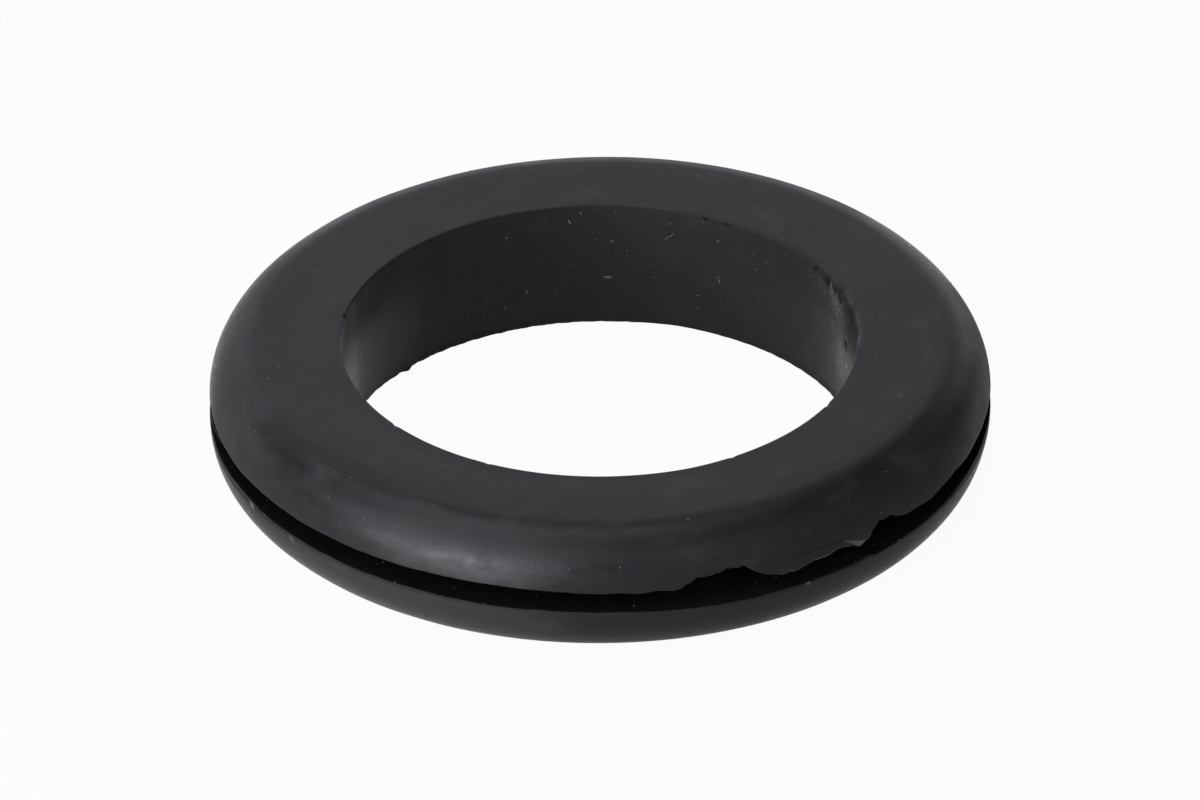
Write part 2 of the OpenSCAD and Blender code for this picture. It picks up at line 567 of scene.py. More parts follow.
# %% Pits in the rim and the wall
RIM_PITS = [
    (33, 9.8, 0.26, 0.08), (26.5, 9.6, 0.42, 0.16), (23, 9.5, 0.30, 0.10), (20.5, 9.4, 0.36, 0.14),
    (14, 9.6, 0.28, 0.10), (10, 9.3, 0.42, 0.16), (11, 8.3, 0.34, 0.14), (5, 9.6, 0.38, 0.14),
    (18, 6.0, 0.28, 0.10), (-30, 9.9, 0.28, 0.10),
    (-142, 9.9, 0.26, 0.10), (66, 9.8, 0.24, 0.08), (60, 9.8, 0.20, 0.08),
    (-60, 9.9, 0.24, 0.08), (-115, 9.9, 0.22, 0.07), (170, 9.9, 0.24, 0.08),
]
PIT_STRETCH = 1.8
PATCHY_MEAN = 0.7
PATCHY_SPREAD = 0.5
FRESH_WEAR = 0.05 * MM
UNDER_SPAN = 2.0


def bore_radius_at(degrees):
    """Radius of the worn bore near its upper rim, at an angle."""
    return bore_r - BORE_TIGHT - around(RIM_BULGE, degrees)


def press_pits(mesh):
    """Pushes a round hollow into the mesh at each pit: degrees, height, radius and depth in millimetres.
    Fresh rubber shows in the pits and on the worn rim, so those points are marked as broken. The same mark
    paints shade: under the worn rim and on the groove's sides the rubber is made matt black."""
    places = read_points(mesh)
    below_rim = np.where(on("upper wall", "upper rim"), height - level, 0)
    patches = np.clip(PATCHY_MEAN + PATCHY_SPREAD * ripple(angle, count=44, seed=21), 0, 1)
    patchy = around(BROKEN_RIM, angle) / MM * patches
    # Painted shade: the wall just under the worn rim is made matt black, fading downwards.
    under = smooth(1.3 - below_rim / (UNDER_SPAN * worn_width)) * (below_rim > 0)
    shade = 0.9 * smooth(1.1 - below_rim / SHADE_DOWN) * (below_rim > 0)
    broken = patchy * np.maximum.reduce([np.clip(worn / FRESH_WEAR, 0, 1), under, shade])
    # Painted shade in the groove: its sides and corners are matt black all round.
    broken = np.maximum(broken, on("upper side", "upper corner", "lower side", "lower corner"))
    normals = np.empty(3 * len(mesh.vertices))
    mesh.vertices.foreach_get("normal", normals)
    normals = normals.reshape(-1, 3)
    for degrees, z_mm, size_mm, depth_mm in RIM_PITS:
        turn_to = math.radians(degrees)
        out = bore_radius_at(degrees)
        middle = np.array([out * math.cos(turn_to), out * math.sin(turn_to), z_mm * MM])
        middle = places[np.argmin(np.linalg.norm(places - middle, axis=1))]
        away = np.linalg.norm(places - middle, axis=1)
        along = np.minimum(bore_r * np.abs(np.radians((angle - degrees + 180) % 360 - 180)), away)
        across = np.sqrt(away**2 - along**2)
        far = np.hypot(along / PIT_STRETCH, across) / (size_mm * MM)
        places -= normals * (depth_mm * MM * smooth(1 - far))[:, None]
        broken = np.maximum(broken, smooth(1.2 * (1 - far)))
    mesh.vertices.foreach_set("co", places.ravel())
    mesh.attributes.new("broken", "FLOAT", "POINT").data.foreach_set("value", broken)
    mesh.update()


press_pits(ring.data)
print(len(RIM_PITS), "pits and dents")

# %% [markdown]
# A line along the back of the bore's rim, the upper lip at the right and the loose strip between the bites
# get a painted highlight, and a few bits of the lower lip are pale. How pale each point is goes into an
# attribute.

# %% Painted highlights and pale bits
RIM_HIGHLIGHT = [
    (10, 0.0), (30, 0.03), (70, 0.03), (78, 0.06), (86, 0.06), (90, 0.03), (96, 0.03), (101, 0.07),
    (108, 0.06), (114, 0.04), (150, 0.03), (170, 0.0),
]
RIM_HIGHLIGHT_DOWN = 0.07 * MM
RIM_HIGHLIGHT_OUT = 0.30 * MM
LIP_HIGHLIGHT = [(-26, 0.0), (-21, 0.5), (-12, 0.3), (-6, 0.5), (-2, 0.0)]
STRIP_HIGHLIGHT = [(-64, 0.0), (-61, 0.12), (-58.5, 0.0), (-57, 0.22), (-53.5, 0.16), (-51, 0.0)]
PALE_BITS = [(-152.5, 4.1, 0.16, 0.5), (-142, 3.95, 0.12, 0.3), (-58.5, 4.15, 0.14, 0.3)]


def mark_pale_and_highlight(mesh):
    """Writes the attribute that the rubber's material reads."""
    rim_top = smooth(1 - (height - level) / RIM_HIGHLIGHT_DOWN) * smooth(1 - (radius - bore_r) / RIM_HIGHLIGHT_OUT)
    pale = around(RIM_HIGHLIGHT, angle) / MM * rim_top * on("upper rim", "upper face")
    for places in (LIP_HIGHLIGHT, STRIP_HIGHLIGHT):
        pale = np.maximum(pale, around(places, angle) / MM * on("upper lip"))
    for degrees, z_mm, size_mm, share in PALE_BITS:
        far = np.hypot(outer_r * np.radians(angle - degrees), level - z_mm * MM) / (size_mm * MM)
        pale = np.maximum(pale, share * smooth(1.5 - far) * on("lower edge", "lower shoulder", "lower lip"))
    mesh.attributes.new("pale", "FLOAT", "POINT").data.foreach_set("value", pale)
    print(np.count_nonzero(pale), "pale points")


mark_pale_and_highlight(ring.data)

# %% [markdown]
# Pale dust and lint show on black rubber more than anything else. The larger flecks have listed
# places, and a fine scatter fills in between them. Both are the same grain of twenty small faces,
# placed on points by one tree, so that the size of the dust is set in one spot.

# %% Places of the larger flecks
# On the wall: degrees, height, length, and turn of the long side from level
WALL_FLECKS = [
    (111, 8.0, 0.34, 45), (107, 6.5, 0.14, 0), (102, 8.9, 0.20, 0), (103, 8.1, 0.16, 90),
    (96.5, 8.6, 0.46, -60), (94, 9.3, 0.36, -50), (87, 6.9, 0.36, 0), (93, 7.0, 0.18, 20),
    (88, 3.8, 0.72, 0), (106.5, 3.0, 0.46, 90), (111.5, 2.0, 0.36, 60), (122.5, 1.1, 0.26, 0),
    (74, 8.8, 0.26, 90), (62.5, 8.1, 0.34, 45), (62.5, 5.0, 0.30, 10), (62.2, 4.7, 0.44, 80),
    (52.5, 6.7, 0.20, 0), (49.5, 7.7, 0.26, 30), (82.5, 3.2, 0.20, 90), (67.5, 3.0, 0.30, 20),
    (60.5, 2.6, 0.18, 0), (74.5, 2.4, 0.18, 0), (119, 7.6, 0.14, 0), (117, 6.4, 0.12, 0),
    (115, 7.2, 0.14, 0), (124, 6.4, 0.14, 90), (18, 4.2, 0.36, 0), (34, 3.4, 0.34, 90),
    (47.5, 8.6, 0.16, 0), (-70, 6.0, 0.30, 20), (-120, 3.0, 0.26, 70), (-35, 7.0, 0.22, 0),
]
# On the upper flange: degrees, radius, length, and turn of the long side from the tangent
TOP_FLECKS = [
    (132.5, 25.3, 0.20, 0), (125, 22.8, 0.14, 0), (122, 21.8, 0.18, 0), (160.5, 22.3, 0.16, 0),
    (154, 23.3, 0.18, 40), (173, 21.3, 0.14, 0), (-171.5, 23.7, 0.40, 80), (-168, 24.7, 0.34, 80),
    (-157.5, 26.5, 0.20, 0), (-156.5, 27.4, 0.28, 30), (-152.5, 27.0, 0.20, 0), (-134, 26.1, 0.22, 0),
    (-135.5, 27.7, 0.22, 0), (89.5, 19.3, 0.22, 0), (48.5, 20.0, 0.24, 0), (46, 19.4, 0.30, 40),
    (37, 26.7, 0.20, 0), (80.5, 20.9, 0.16, 0), (65, 24.0, 0.16, 0), (26, 23.8, 0.16, 0),
    (24, 24.5, 0.12, 0), (-17, 24.9, 0.18, 0), (53.5, 26.0, 0.16, 0), (54.5, 25.9, 0.14, 90),
    (-110, 27.3, 0.14, 0), (-109, 23.3, 0.14, 0), (-91.5, 25.9, 0.14, 0), (9.5, 19.2, 0.20, 0),
    (93, 19.8, 0.26, 50), (90.6, 21.1, 0.20, 0), (91.0, 21.5, 0.22, -40), (75, 22.4, 0.18, 0),
    (94.8, 20.1, 0.16, 30), (94.2, 19.4, 0.18, -20), (-112.1, 28.48, 0.20, 0),
    (-147, 20.6, 0.14, 0), (-128, 27.9, 0.24, 0), (60, 19.9, 0.20, 60), (-75, 22.0, 0.10, 0),
]
ABOVE = 20 * MM
FLECK_SINK = 0.01 * MM

surface = BVHTree.FromPolygons(
    [vertex.co for vertex in ring.data.vertices], [polygon.vertices for polygon in ring.data.polygons]
)


def hit_wall(degrees, z_mm):
    """Point and normal where a level ray from the axis meets the wall."""
    return surface.ray_cast(Vector((0, 0, z_mm * MM)), round_the_axis(degrees, 1, 0))[:2]


def hit_top(degrees, r_mm):
    """Point and normal where a plumb line from above meets the upper flange."""
    return surface.ray_cast(round_the_axis(degrees, r_mm * MM, ABOVE), Vector((0, 0, -1)))[:2]


def fleck_frame(hit, degrees, turned):
    """Where a fleck sits and how it is turned: its long side along the ring, turned about the normal."""
    place, normal = hit
    turn_to = math.radians(degrees)
    along = Vector((-math.sin(turn_to), math.cos(turn_to), 0))
    side = normal.cross(along).normalized()
    axes = Matrix((along, side, normal)).transposed()
    return place - normal * FLECK_SINK, axes @ Matrix.Rotation(math.radians(turned), 3, "Z")


flecks = [(fleck_frame(hit_wall(a, z), a, turned), size) for a, z, size, turned in WALL_FLECKS]
flecks += [(fleck_frame(hit_top(a, r), a, turned), size) for a, r, size, turned in TOP_FLECKS]
fleck_mesh = bpy.data.meshes.new("fleck places")
fleck_mesh.from_pydata([place for (place, _), _ in flecks], [], [])
sizes = fleck_mesh.attributes.new("size", "FLOAT", "POINT")
sizes.data.foreach_set("value", [size * MM for _, size in flecks])
turns = fleck_mesh.attributes.new("turn", "FLOAT_VECTOR", "POINT")
turns.data.foreach_set("vector", [value for (_, axes), _ in flecks for value in axes.to_euler()])
fleck_places = bpy.data.objects.new("fleck places", fleck_mesh)
print(len(flecks), "placed flecks")

# %% Tree that lays dust on points
FLECK_SHAPE = (0.50, 0.15, 0.10)
FLECK_NOISE = 1.3
GRAIN_SHAPE = (0.7, 0.5)
GRAIN_NOISE = 7.0
GRAIN_ROUGH = 0.35
CLUMP_SCALE = 220.0
ELSEWHERE = 0.45
FACING_UP = (-0.6, 0.6)
FACING_FRONT = (-0.8, -0.4)
BORE_EDGE = (0.3 * MM, 0.6 * MM)


def places_round(make, place):
    """A place with its x, its y, its distance from the axis, and its height."""
    x = make("ShaderNodeSeparateXYZ", Vector=place)
    y, z = x.other("Y"), x.other("Z")
    across = (x * x + y * y).apply("SQRT")
    return place, x, y, across, z


def dust_tree():
    tree = bpy.data.node_groups.new("dust", "GeometryNodeTree")
    keys = {
        "Places": add_input(tree, "Places", "NodeSocketObject"),
        "Surface": add_input(tree, "Surface", "NodeSocketObject"),
        "Density": add_input(tree, "Density", "NodeSocketFloat", 1.0),
        "Smallest": add_input(tree, "Smallest", "NodeSocketFloat", 0.03 * MM),
        "Largest": add_input(tree, "Largest", "NodeSocketFloat", 0.10 * MM),
        "Seed": add_input(tree, "Seed", "NodeSocketInt", 1),
        "Material": add_input(tree, "Material", "NodeSocketMaterial"),
    }
    tree.interface.new_socket("Geometry", in_out="OUTPUT", socket_type="NodeSocketGeometry")
    entry = tree.nodes.new("NodeGroupInput")
    given = {name: Wire(tree, entry.outputs[name]) for name in keys}
    make = Wire(tree).add

    grain = make("GeometryNodeMeshIcoSphere", Radius=1.0, Subdivisions=1)
    grain = make("GeometryNodeSetPosition", Geometry=grain, Position=uneven(make, GRAIN_NOISE))
    fleck = make("GeometryNodeMeshIcoSphere", Radius=1.0, Subdivisions=2)
    fleck = make("GeometryNodeSetPosition", Geometry=fleck, Position=uneven(make, FLECK_NOISE))

    drawing = make("GeometryNodeObjectInfo", Object=given["Places"], output="Geometry")
    size = make("GeometryNodeInputNamedAttribute", {"data_type": "FLOAT"}, Name="size")
    turned = make("GeometryNodeInputNamedAttribute", {"data_type": "FLOAT_VECTOR"}, Name="turn")
    scale = make("ShaderNodeVectorMath", {"operation": "SCALE"}, in_0=FLECK_SHAPE, Scale=size)
    turned = make("FunctionNodeEulerToRotation", Euler=turned)
    put = {"Points": drawing, "Instance": fleck, "Rotation": turned, "Scale": scale}
    placed = make("GeometryNodeInstanceOnPoints", **put)

    skin = make("GeometryNodeObjectInfo", Object=given["Surface"], output="Geometry")
    normal = make("ShaderNodeSeparateXYZ", Vector=make("GeometryNodeInputNormal"))
    y, up = normal.other("Y"), normal.other("Z")
    clumps = make("ShaderNodeTexNoise", Scale=CLUMP_SCALE, Detail=3.0).step(0.45, 0.65)
    _, _, _, across, _ = places_round(make, make("GeometryNodeInputPosition"))
    in_bore = across.step(bore_r + BORE_EDGE[0], bore_r + BORE_EDGE[1], 1.0, 0.0)
    share = up.step(*FACING_UP, 0.0, ELSEWHERE) + y.step(*FACING_FRONT, 1.0, 0.0) * in_bore
    density = given["Density"] * share * (clumps + 0.25)
    spread = {"Mesh": skin, "Density": density, "Seed": given["Seed"]}
    spots = make("GeometryNodeDistributePointsOnFaces", {"distribute_method": "RANDOM"}, **spread)
    lying = spots.other("Rotation")
    pick = make("FunctionNodeRandomValue", Min=0.0, Max=1.0, Seed=given["Seed"], output=1)
    span = given["Largest"] - given["Smallest"]
    grain_size = given["Smallest"] + span * pick * pick
    sides = {"Y": grain_size * GRAIN_SHAPE[0], "Z": grain_size * GRAIN_SHAPE[1]}
    flat = make("ShaderNodeCombineXYZ", X=grain_size, **sides)
    put = {"Points": spots, "Instance": grain, "Rotation": lying, "Scale": flat}
    scattered = make("GeometryNodeInstanceOnPoints", **put)

    both = tree.nodes.new("GeometryNodeJoinGeometry")
    for part in (placed, scattered):
        tree.links.new(part.socket, both.inputs["Geometry"])
    dust = make("GeometryNodeRealizeInstances", Geometry=Wire(tree, both.outputs["Geometry"]))
    dust = make("GeometryNodeSetMaterial", Geometry=dust, Material=given["Material"])
    leave = tree.nodes.new("NodeGroupOutput")
    tree.links.new(dust.socket, leave.inputs["Geometry"])
    return tree, keys


def uneven(make, scale):
    """The position, pushed in and out by noise, which makes a round grain an uneven one."""
    position = make("GeometryNodeInputPosition")
    noise = make("ShaderNodeTexNoise", Scale=scale, Detail=1.0)
    stretch_by = noise.step(0.3, 0.7, 1.0 - GRAIN_ROUGH, 1.0 + GRAIN_ROUGH)
    return make("ShaderNodeVectorMath", {"operation": "SCALE"}, Vector=position, Scale=stretch_by)


# %% Lay the dust
DUST_DENSITY = 8.0e5
SMALLEST_GRAIN = 0.02 * MM
LARGEST_GRAIN = 0.09 * MM
pale_dust = bpy.data.materials.new("pale_dust")
dusting, dust_keys = dust_tree()
dust_values = {
    "Places": fleck_places, "Surface": ring, "Density": DUST_DENSITY,
    "Smallest": SMALLEST_GRAIN, "Largest": LARGEST_GRAIN, "Seed": 7, "Material": pale_dust,
}
dust = run_tree("dust", dusting, dust_keys, dust_values)
print(len(dust.data.polygons), "faces of dust")

# %% [markdown]
# Three small things are left: a curled chip beside the bite, a sliver of flash that hangs in the groove,
# and a hair of lint on the wall. The last two are tubes along a few points.

# %% Chip, sliver and lint
CHIP_CORNERS = [(-52.6, 0.85), (-48.0, -0.07), (-49.5, -0.21)]
CHIP_LIFT = (0.05 * MM, 0.06 * MM, 0.20 * MM)
CHIP_THICK = 0.10 * MM
CHIP_PARTS = 6
CHIP_PALE = (0.10, 0.34, 0.26)
SLIVER = [
    (-176, 28.45, 6.25), (-174, 28.72, 6.15), (-171, 28.78, 5.98), (-168, 28.7, 5.78), (-165.5, 28.45, 5.62),
]
SLIVER_R = 0.045 * MM
LINT = [(75.0, 18.95, 7.35), (74.7, 18.9, 7.65), (74.1, 18.92, 7.75), (73.4, 18.9, 7.8), (73.0, 18.95, 8.1)]
LINT_R = 0.035 * MM


def strand(name, path, thick, material):
    """A closed tube along points given as degrees, and radius and height in millimetres."""
    curve = bpy.data.curves.new(name, "CURVE")
    curve.dimensions = "3D"
    curve.bevel_depth = thick
    curve.bevel_resolution = 2
    curve.resolution_u = 6
    curve.use_fill_caps = True
    spline = curve.splines.new("NURBS")
    spline.points.add(len(path) - 1)
    for point, (degrees, r_mm, z_mm) in zip(spline.points, path):
        point.co = (*round_the_axis(degrees, r_mm * MM, z_mm * MM), 1)
    spline.use_endpoint_u = True
    carrier = bpy.data.objects.new(name, curve)
    mesh = bpy.data.meshes.new_from_object(carrier)
    bpy.data.objects.remove(carrier)
    mesh.materials.clear()
    mesh.materials.append(material)
    piece = bpy.data.objects.new(name, mesh)
    bpy.context.scene.collection.objects.link(piece)
    return piece


def chip_point(shares, out):
    """A point of the chip from its shares of the three corners, pushed out from the shoulder."""
    degrees = sum(share * corner[0] for share, corner in zip(shares, CHIP_CORNERS))
    rise_to = sum(share * corner[1] for share, corner in zip(shares, CHIP_CORNERS)) * MM
    lift = sum(share * corner for share, corner in zip(shares, CHIP_LIFT))
    return round_the_axis(degrees, float(shoulder_at(rise_to)) + lift + out, upper_lip_z + rise_to)


def chip(name, material):
    """A thin three-cornered flake that follows the shoulder and curls away from it at one corner."""
    spots = [(i, j) for i in range(CHIP_PARTS + 1) for j in range(CHIP_PARTS + 1 - i)]
    number = {spot: index for index, spot in enumerate(spots)}
    shares = [(1 - (i + j) / CHIP_PARTS, i / CHIP_PARTS, j / CHIP_PARTS) for i, j in spots]
    points = [chip_point(share, out) for out in (0, -CHIP_THICK) for share in shares]
    front = []
    for i, j in spots:
        if i + j < CHIP_PARTS:
            front.append((number[i, j], number[i, j + 1], number[i + 1, j]))
        if i + j < CHIP_PARTS - 1:
            front.append((number[i + 1, j], number[i, j + 1], number[i + 1, j + 1]))
    back = [tuple(index + len(spots) for index in reversed(face)) for face in front]
    mesh = bpy.data.meshes.new(name)
    mesh.from_pydata(points, [], front + back + chip_rim(number))
    mesh.materials.append(material)
    pale = [sum(share * corner for share, corner in zip(spot, CHIP_PALE)) for spot in shares * 2]
    mesh.attributes.new("pale", "FLOAT", "POINT").data.foreach_set("value", pale)
    piece = bpy.data.objects.new(name, mesh)
    bpy.context.scene.collection.objects.link(piece)
    return piece


def chip_rim(number):
    """Faces that join the front of the chip to its back, all round its three sides."""
    steps = range(CHIP_PARTS)
    walk = [(0, j) for j in steps] + [(i, CHIP_PARTS - i) for i in steps]
    walk += [(CHIP_PARTS - i, 0) for i in steps]
    loop = [number[spot] for spot in walk]
    return [(b, a, a + len(number), b + len(number)) for a, b in zip(loop, loop[1:] + loop[:1])]


sliver = strand("sliver_of_flash", SLIVER, SLIVER_R, rubber)
lint = strand("lint", LINT, LINT_R, pale_dust)
curled_chip = chip("curled_chip", rubber)
for piece in (sliver, lint, curled_chip):
    print(piece.name, len(piece.data.polygons), "faces")

# %% [markdown]
# Black rubber shows hardly any colour of its own: what the eye sees is a broad, dull reflection of the
# studio. So its base colour is almost black, and the roughness carries the look. It is low where the
# rubber was polished by handling, and high where it is dry. A thin grey bloom lies on it in clouds.
# Some of the grey is painted light: a sheen where the surface is seen edge-on, glows on the bore's wall,
# highlights on the rim, the lip and the strip, and lighter patches at the front left. Matt black paints
# shade under the worn rim and in the groove.

# %% Black rubber
PLAIN_ROUGHNESS = 0.43
FRESH_AND_SHADE_BLACK = (0.012, 0.012, 0.011, 1)
BLUISH_BLACK = (0.0074, 0.0087, 0.0106, 1)
BROWNISH_BLACK = (0.0098, 0.0083, 0.0086, 1)
OLIVE_BLACK = (0.0087, 0.0090, 0.0075, 1)
BLOOM_AND_LIT_GREY = (0.060, 0.058, 0.058, 1)
PALE_DUST_AND_HIGHLIGHT = (0.445, 0.445, 0.42, 1)
# Stretch across the ring, scale and detail of each kind of streak
CLOUD = (0.4, 6.0, 3.0)
SMEAR = (0.25, 16.0, 2.0)
DRIP = (6.0, 40.0, 3.0)
BLOTCH_SCALE = 650.0
TINT_SCALE = 800.0
GRAIN_SCALE = 5200.0
EDGE_ON_POWER = 8.0
CLOUD_BUMP = 0.012 * MM
SMEAR_BUMP = 0.004 * MM
GRAIN_BUMP = 0.02 * MM
GRAIN_STRENGTH = 0.40


def start_material(material):
    """Empties a material and returns its node tree's Wire."""
    material.use_nodes = True
    material.node_tree.nodes.clear()
    return Wire(material.node_tree)


def finish_material(material, shader):
    """Links a shader to a new output node."""
    output = material.node_tree.nodes.new("ShaderNodeOutputMaterial")
    material.node_tree.links.new(shader.socket, output.inputs["Surface"])


def streaks(make, layout, stretch, scale, detail):
    """Seamless noise that is drawn out along the ring, or across it for a stretch above 1."""
    _, x, y, across, z = layout
    way = make("ShaderNodeCombineXYZ", X=x / across, Y=y / across, Z=across / outer_r / stretch)
    place = {"Vector": way, "W": z / outer_r / stretch}
    return make("ShaderNodeTexNoise", {"noise_dimensions": "4D"}, Scale=scale, Detail=detail, **place)


def sector(turn, middle, half_width, fade):
    """1 within half_width degrees of an angle, and 0 past the fade."""
    away = (turn - middle).apply("WRAP", 180.0, -180.0).apply("ABSOLUTE")
    return away.step(half_width, half_width + fade, 1.0, 0.0)


def between(value, low, high, fade):
    """1 from low to high, and 0 past a fade on either side."""
    return value.step(low - fade, low) * value.step(high, high + fade, 1.0, 0.0)


def mix(make, factor, first, second):
    """A colour between two colours."""
    settings = {"data_type": "RGBA", "clamp_factor": True}
    return make("ShaderNodeMix", settings, output=2, Factor=factor, in_6=first, in_7=second)


wire = start_material(rubber)
make = wire.add
layout = places_round(make, make("ShaderNodeTexCoord", output="Object"))
place, x, y, across, up = layout
turn = y.apply("ARCTAN2", x) * math.degrees(1)
outside = across.step(bore_r + 0.5 * MM, bore_r + 1.5 * MM)
inside_bore = (1 - outside) * up.step(height - 0.25 * MM, height - 0.05 * MM, 1.0, 0.0)

cloud = streaks(make, layout, *CLOUD)
smear = streaks(make, layout, *SMEAR)
drip = streaks(make, layout, *DRIP)
blotch = make("ShaderNodeTexNoise", Vector=place, Scale=BLOTCH_SCALE, Detail=3.0)

polished = sector(turn, -116, 22, 24) * between(up, 5.2 * MM, 8.6 * MM, 1.0 * MM) * outside
dry = sector(turn, -54, 22, 18) * between(up, 5.0 * MM, 8.2 * MM, 0.8 * MM) * outside
handled_edge = sector(turn, -40, 14, 14) * between(across, 23.5 * MM, 26.0 * MM, 1.0 * MM)
dull_left = sector(turn, 174, 18, 18) * across.step(20 * MM, 24 * MM) * up.step(5 * MM, 6 * MM)
wall_ends = sector(turn, 4, 16, 18) * 0.06 + sector(turn, 180, 10, 24) * 0.20
wall_ends = wall_ends * inside_bore * up.step(3 * MM, 7.5 * MM, 1.0, 0.0)
dull_ends = sector(turn, 24, 14, 10) * 1.7 + sector(turn, 178, 10, 6)
dull_ends = dull_ends * inside_bore * up.step(6.0 * MM, 8.0 * MM)
bore_rim = across.step(bore_r + 0.1 * MM, bore_r + 0.25 * MM, 1.0, 0.0) * up.step(9.8 * MM, 9.9 * MM)
bore_rim = bore_rim * sector(turn, 90, 50, 20)
lower_lip = between(up, 4.05 * MM, 4.25 * MM, 0.05 * MM) * across.step(28.2 * MM, 28.4 * MM)
dull_wall = inside_bore * sector(turn, 118, 38, 8)
roughness = (
    PLAIN_ROUGHNESS
    - polished * 0.02
    + dry * 0.18
    - handled_edge * 0.10
    + dull_left * 0.14
    - wall_ends
    + dull_ends * 0.22
    + (lower_lip + bore_rim) * 0.30
    + dull_wall * 0.17
    + (cloud - 0.5) * 0.30
    + (smear - 0.5) * (0.10 + polished * 0.16)
    + (blotch - 0.5) * (0.06 + polished * 0.30)
    + (drip - 0.5) * inside_bore * 0.16
)
rubbed = sector(turn, -112, 26, 30) * between(across, 18 * MM, 20.5 * MM, 2.5 * MM) * outside
# Painted light in the bloom: the underside of the lower flange is lighter at the front left, and a painted
# highlight lies on the shoulder just above the lip there.
painted_light_under = sector(turn, -122, 18, 12) * up.step(3.9 * MM, 4.2 * MM, 1.0, 0.0) * outside
painted_highlight_at_lip = sector(turn, -112, 6, 10) * between(up, 6.3 * MM, 6.6 * MM, 0.7 * MM) * outside
bloom_and_painted_light = cloud.step(0.52, 0.72) * (0.25 - inside_bore * 0.15) + rubbed * 0.10 + painted_light_under * 0.30
bloom_and_painted_light = bloom_and_painted_light + dull_left * 0.13 + painted_highlight_at_lip * (blotch + 0.1)
# The bore and the underside of the lower flange get an olive black; elsewhere the black varies at random from
# bluish to brownish.
olive_parts = inside_bore + up.step(3.9 * MM, 4.2 * MM, 1.0, 0.0) * outside

tint = make("ShaderNodeTexNoise", Vector=place, Scale=TINT_SCALE, Detail=3.0).step(0.35, 0.65)
black = mix(make, olive_parts, mix(make, tint, BLUISH_BLACK, BROWNISH_BLACK), OLIVE_BLACK)
bloomed_and_lit = mix(make, bloom_and_painted_light, black, BLOOM_AND_LIT_GREY)
# Painted sheen, with some dust: pale grey where the surface is seen edge-on, on the outer edges at the left
# and the right, and all round the lower flange's underside.
edge_on = make("ShaderNodeLayerWeight", output="Facing", Blend=0.5).apply("POWER", EDGE_ON_POWER)
dust_and_sheen_edges = sector(turn, 162, 17, 16) * 0.98 + sector(turn, 31, 7, 8) * 2.4
dust_and_sheen_edges = dust_and_sheen_edges + up.step(3.6 * MM, 4.2 * MM, 1.0, 0.0) * (sector(turn, -25, 30, 15) + 0.8)
# Painted highlights on the bore's wall: a pale glow and a small glint near its right end, and a glow near its
# left end.
right_wall_glow = sector(turn, 17, 3, 6) * between(up, 2.8 * MM, 4.8 * MM, 1.2 * MM)
right_wall_glow = right_wall_glow + sector(turn, 17.8, 0.5, 0.4) * between(up, 3.9 * MM, 4.2 * MM, 0.15 * MM) * 2.5
left_glow = sector(turn, 162, 4, 20) * 0.16 + sector(turn, 165, 4, 6) * 0.14
left_glow = (left_glow + sector(turn, 150, 8, 12) * 0.06) * up.step(4.4 * MM, 7.6 * MM, 1.15, 0.0)
wall_glows = (right_wall_glow * cloud * 0.24 + left_glow * (cloud + 0.5)) * inside_bore
grain = make("ShaderNodeTexNoise", Vector=place, Scale=GRAIN_SCALE, Detail=1.0)
dust_and_painted_light = edge_on * dust_and_sheen_edges * (cloud + 0.5) * grain.step(0.3, 0.7, 0.4, 1.6) + wall_glows
# Pale bits, and painted highlights on the rim, the lip and the strip.
pale = make("ShaderNodeAttribute", {"attribute_name": "pale"}, output="Fac")
colour = mix(make, dust_and_painted_light + pale, bloomed_and_lit, PALE_DUST_AND_HIGHLIGHT)
uneven_skin = cloud * CLOUD_BUMP + smear * SMEAR_BUMP
bump = make("ShaderNodeBump", Strength=1.0, Distance=1.0, Height=uneven_skin)
bump = make("ShaderNodeBump", Strength=GRAIN_STRENGTH, Distance=GRAIN_BUMP, Height=grain, Normal=bump)
skin = make("ShaderNodeBsdfPrincipled", Base_Color=colour, Roughness=roughness, Normal=bump)
# Matt black without gloss: fresh rubber in the pits and on the worn rim, and painted shade under the rim and
# in the groove.
matt_black = make("ShaderNodeBsdfDiffuse", Color=FRESH_AND_SHADE_BLACK, Normal=bump)
broken = make("ShaderNodeAttribute", {"attribute_name": "broken"}, output="Fac")
smudge = sector(turn, -151, 4, 5) * between(across, 25.8 * MM, 26.8 * MM, 0.9 * MM)
smudge = (smudge + sector(turn, -136, 6, 7) * between(across, 24.9 * MM, 25.8 * MM, 0.9 * MM) * 0.5) * outside
matt_black_share = broken + smudge * (cloud + 0.5) * 0.24
finish_material(rubber, make("ShaderNodeMixShader", in_0=matt_black_share, in_1=skin, in_2=matt_black))
print(len(rubber.node_tree.nodes), "nodes in the rubber")

# %% [markdown]
# Dust is fibres and skin, so it is rough all over and throws light back evenly. It is a darker grey
# than it seems to be, because it lies on black.

# %% Pale dust
DUST_GREY = (0.145, 0.142, 0.138, 1)
DUST_ROUGHNESS = 0.9

wire = start_material(pale_dust)
settled = wire.add("ShaderNodeBsdfPrincipled", Base_Color=DUST_GREY, Roughness=DUST_ROUGHNESS)
finish_material(pale_dust, settled)
print(len(pale_dust.node_tree.nodes), "nodes in the dust")

# %% [markdown]
# The studio is a pale floor with large soft boxes round it. The camera sees the floor as nearly white,
# so the ground is white without more light on the rubber. A reflection sees it grey, lighter at the left
# and in front of the key light. The small share left of the plain floor keeps a faint shadow under the ring.

# %% Floor
FLOOR_SIZE = 8.0
FLOOR_WHITE = 0.95
FLOOR_MIRRORED = 0.75
LIT_SIDE = (-50 * MM, 0.47)
SHADED_SIDE = (25 * MM, 0.36)
POOL_AT = (-27 * MM, -42 * MM, 0)
POOL_R = (8 * MM, 32 * MM)
POOL = 0.32
FLOOR_COLOUR = (0.8, 0.8, 0.8, 1)
WORLD_FILL = 0.02

